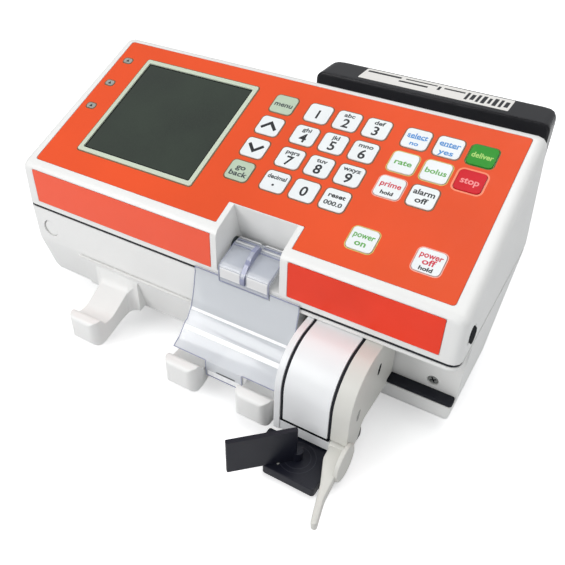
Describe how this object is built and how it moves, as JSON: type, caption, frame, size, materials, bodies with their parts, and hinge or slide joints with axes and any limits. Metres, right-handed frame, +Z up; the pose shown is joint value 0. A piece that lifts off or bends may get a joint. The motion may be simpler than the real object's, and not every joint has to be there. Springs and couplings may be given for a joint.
{
  "type": "syringe infusion pump",
  "caption": "Desktop syringe pump with sloping orange keypad, display, front syringe cradle, clear barrel clamp, sliding plunger driver and rear carrying handle.",
  "frame": {"origin": "middle of the bounding box's underside, on the surface that the feet stand on", "axes": "+X to the operator's right along the case's width, -Y towards the operator, +Z up"},
  "size_m": [0.309, 0.2492, 0.1515],
  "materials": {
    "case_white": "fine moulded texture, satin white",
    "driver_white": "smooth satin white",
    "orange_overlay": "fine matte polyester film, orange red",
    "key_white": "matte film, white",
    "key_grey": "matte film, pale grey green",
    "key_green": "matte film, green",
    "key_red": "matte film, red",
    "lcd_rim": "satin pale green",
    "lcd_glass": "smooth, dark grey green",
    "lamp_lens": "smooth, unlit grey",
    "clear_plastic": "clear moulded plastic",
    "black_plastic": "satin black",
    "dark_rubber": "matte dark rubber",
    "nylon": "natural nylon",
    "steel": "ground steel",
    "brass": "turned brass",
    "circuit_board": "solder mask green",
    "battery_wrap": "shrink wrap, blue"
  },
  "bodies": {
    "case": {"upper_housing": "case_white", "lower_housing": "case_white", "housing_gasket": "dark_rubber", "front_label_left": "orange_overlay", "front_label_right": "orange_overlay", "screw_plug": "case_white", "guide_strip": "dark_rubber", "foot_left": "dark_rubber", "foot_right": "dark_rubber", "power_inlet": "black_plastic", "keypad_overlay": "orange_overlay", "lcd_frame": "lcd_rim", "lcd_window": "lcd_glass", "indicator_light_pipe": "lamp_lens", "clamp_pin": "steel", "syringe_cradle": "case_white", "barrel_tray": "clear_plastic", "tube_bush": "nylon", "drive_motor": "steel", "main_board": "circuit_board", "battery_pack": "battery_wrap", "handle": "black_plastic"},
    "driver": {"plunger_tube": "steel", "drive_nut": "brass", "driver_frame": "driver_white", "driver_cover": "driver_white", "driver_seal_left": "dark_rubber", "driver_seal_right": "dark_rubber", "driver_side_cover": "driver_white", "flipper_base": "black_plastic"},
    "release_lever": {"release_lever": "driver_white"},
    "plunger_flipper": {"plunger_flipper": "black_plastic"},
    "lead_screw": {"lead_screw": "steel"},
    "barrel_clamp": {"barrel_clamp": "clear_plastic"},
    "key_menu": {"key_menu": "key_grey"},
    "key_up": {"key_up": "key_white"},
    "key_down": {"key_down": "key_white"},
    "key_back": {"key_back": "key_grey"},
    "key_1": {"key_1": "key_white"},
    "key_4": {"key_4": "key_white"},
    "key_7": {"key_7": "key_white"},
    "key_decimal": {"key_decimal": "key_white"},
    "key_2": {"key_2": "key_white"},
    "key_5": {"key_5": "key_white"},
    "key_8": {"key_8": "key_white"},
    "key_0": {"key_0": "key_white"},
    "key_3": {"key_3": "key_white"},
    "key_6": {"key_6": "key_white"},
    "key_9": {"key_9": "key_white"},
    "key_reset": {"key_reset": "key_white"},
    "key_no": {"key_no": "key_white"},
    "key_rate": {"key_rate": "key_white"},
    "key_prime": {"key_prime": "key_white"},
    "key_yes": {"key_yes": "key_white"},
    "key_bolus": {"key_bolus": "key_white"},
    "key_alarm_off": {"key_alarm_off": "key_white"},
    "key_start": {"key_start": "key_green"},
    "key_stop": {"key_stop": "key_red"},
    "key_power_on": {"key_power_on": "key_white"},
    "key_power_off": {"key_power_off": "key_white"}
  },
  "joints": [
    {"name": "key_menu_press", "type": "slide", "parent": "case", "child": "key_menu", "axis": [0, 0.3891, -0.9212], "range_m": [0, 0.0005], "stiffness_N_per_m": 300},
    {"name": "key_up_press", "type": "slide", "parent": "case", "child": "key_up", "axis": [0, 0.3891, -0.9212], "range_m": [0, 0.0005], "stiffness_N_per_m": 300},
    {"name": "key_down_press", "type": "slide", "parent": "case", "child": "key_down", "axis": [0, 0.3891, -0.9212], "range_m": [0, 0.0005], "stiffness_N_per_m": 300},
    {"name": "key_back_press", "type": "slide", "parent": "case", "child": "key_back", "axis": [0, 0.3891, -0.9212], "range_m": [0, 0.0005], "stiffness_N_per_m": 300},
    {"name": "key_1_press", "type": "slide", "parent": "case", "child": "key_1", "axis": [0, 0.3891, -0.9212], "range_m": [0, 0.0005], "stiffness_N_per_m": 300},
    {"name": "key_4_press", "type": "slide", "parent": "case", "child": "key_4", "axis": [0, 0.3891, -0.9212], "range_m": [0, 0.0005], "stiffness_N_per_m": 300},
    {"name": "key_7_press", "type": "slide", "parent": "case", "child": "key_7", "axis": [0, 0.3891, -0.9212], "range_m": [0, 0.0005], "stiffness_N_per_m": 300},
    {"name": "key_decimal_press", "type": "slide", "parent": "case", "child": "key_decimal", "axis": [0, 0.3891, -0.9212], "range_m": [0, 0.0005], "stiffness_N_per_m": 300},
    {"name": "key_2_press", "type": "slide", "parent": "case", "child": "key_2", "axis": [0, 0.3891, -0.9212], "range_m": [0, 0.0005], "stiffness_N_per_m": 300},
    {"name": "key_5_press", "type": "slide", "parent": "case", "child": "key_5", "axis": [0, 0.3891, -0.9212], "range_m": [0, 0.0005], "stiffness_N_per_m": 300},
    {"name": "key_8_press", "type": "slide", "parent": "case", "child": "key_8", "axis": [0, 0.3891, -0.9212], "range_m": [0, 0.0005], "stiffness_N_per_m": 300},
    {"name": "key_0_press", "type": "slide", "parent": "case", "child": "key_0", "axis": [0, 0.3891, -0.9212], "range_m": [0, 0.0005], "stiffness_N_per_m": 300},
    {"name": "key_3_press", "type": "slide", "parent": "case", "child": "key_3", "axis": [0, 0.3891, -0.9212], "range_m": [0, 0.0005], "stiffness_N_per_m": 300},
    {"name": "key_6_press", "type": "slide", "parent": "case", "child": "key_6", "axis": [0, 0.3891, -0.9212], "range_m": [0, 0.0005], "stiffness_N_per_m": 300},
    {"name": "key_9_press", "type": "slide", "parent": "case", "child": "key_9", "axis": [0, 0.3891, -0.9212], "range_m": [0, 0.0005], "stiffness_N_per_m": 300},
    {"name": "key_reset_press", "type": "slide", "parent": "case", "child": "key_reset", "axis": [0, 0.3891, -0.9212], "range_m": [0, 0.0005], "stiffness_N_per_m": 300},
    {"name": "key_no_press", "type": "slide", "parent": "case", "child": "key_no", "axis": [0, 0.3891, -0.9212], "range_m": [0, 0.0005], "stiffness_N_per_m": 300},
    {"name": "key_rate_press", "type": "slide", "parent": "case", "child": "key_rate", "axis": [0, 0.3891, -0.9212], "range_m": [0, 0.0005], "stiffness_N_per_m": 300},
    {"name": "key_prime_press", "type": "slide", "parent": "case", "child": "key_prime", "axis": [0, 0.3891, -0.9212], "range_m": [0, 0.0005], "stiffness_N_per_m": 300},
    {"name": "key_yes_press", "type": "slide", "parent": "case", "child": "key_yes", "axis": [0, 0.3891, -0.9212], "range_m": [0, 0.0005], "stiffness_N_per_m": 300},
    {"name": "key_bolus_press", "type": "slide", "parent": "case", "child": "key_bolus", "axis": [0, 0.3891, -0.9212], "range_m": [0, 0.0005], "stiffness_N_per_m": 300},
    {"name": "key_alarm_off_press", "type": "slide", "parent": "case", "child": "key_alarm_off", "axis": [0, 0.3891, -0.9212], "range_m": [0, 0.0005], "stiffness_N_per_m": 300},
    {"name": "key_start_press", "type": "slide", "parent": "case", "child": "key_start", "axis": [0, 0.3891, -0.9212], "range_m": [0, 0.0005], "stiffness_N_per_m": 300},
    {"name": "key_stop_press", "type": "slide", "parent": "case", "child": "key_stop", "axis": [0, 0.3891, -0.9212], "range_m": [0, 0.0005], "stiffness_N_per_m": 300},
    {"name": "key_power_on_press", "type": "slide", "parent": "case", "child": "key_power_on", "axis": [0, 0.3891, -0.9212], "range_m": [0, 0.0005], "stiffness_N_per_m": 300},
    {"name": "key_power_off_press", "type": "slide", "parent": "case", "child": "key_power_off", "axis": [0, 0.3891, -0.9212], "range_m": [0, 0.0005], "stiffness_N_per_m": 300},
    {"name": "barrel_clamp_hinge", "type": "hinge", "parent": "case", "child": "barrel_clamp", "pos_m": [0.0237, -0.0215, 0.084], "axis": [-1, 0, 0], "range_deg": [0, 60], "stiffness_Nm_per_rad": 0.02},
    {"name": "driver_slide", "type": "slide", "parent": "case", "child": "driver", "axis": [1, 0, 0], "range_m": [0, 0.11]},
    {"name": "lead_screw_spin", "type": "hinge", "parent": "case", "child": "lead_screw", "pos_m": [-0.1177, -0.0252, 0.0464], "axis": [1, 0, 0], "range_deg": [0, 8000]},
    {"name": "release_lever_hinge", "type": "hinge", "parent": "driver", "child": "release_lever", "pos_m": [0.10775, -0.0765, 0.0155], "axis": [-1, 0, 0], "range_deg": [0, 30], "stiffness_Nm_per_rad": 0.1},
    {"name": "plunger_flipper_hinge", "type": "hinge", "parent": "driver", "child": "plunger_flipper", "pos_m": [0.0888, -0.0898, 0.009], "axis": [0, 0, 1], "range_deg": [0, 36]}
  ],
  "couplings": [
    {"joint": "lead_screw_spin", "follows": "driver_slide", "rad_per_m": 1256.6},
    {"joint": "plunger_flipper_hinge", "follows": "release_lever_hinge", "ratio": 1.2}
  ]
}
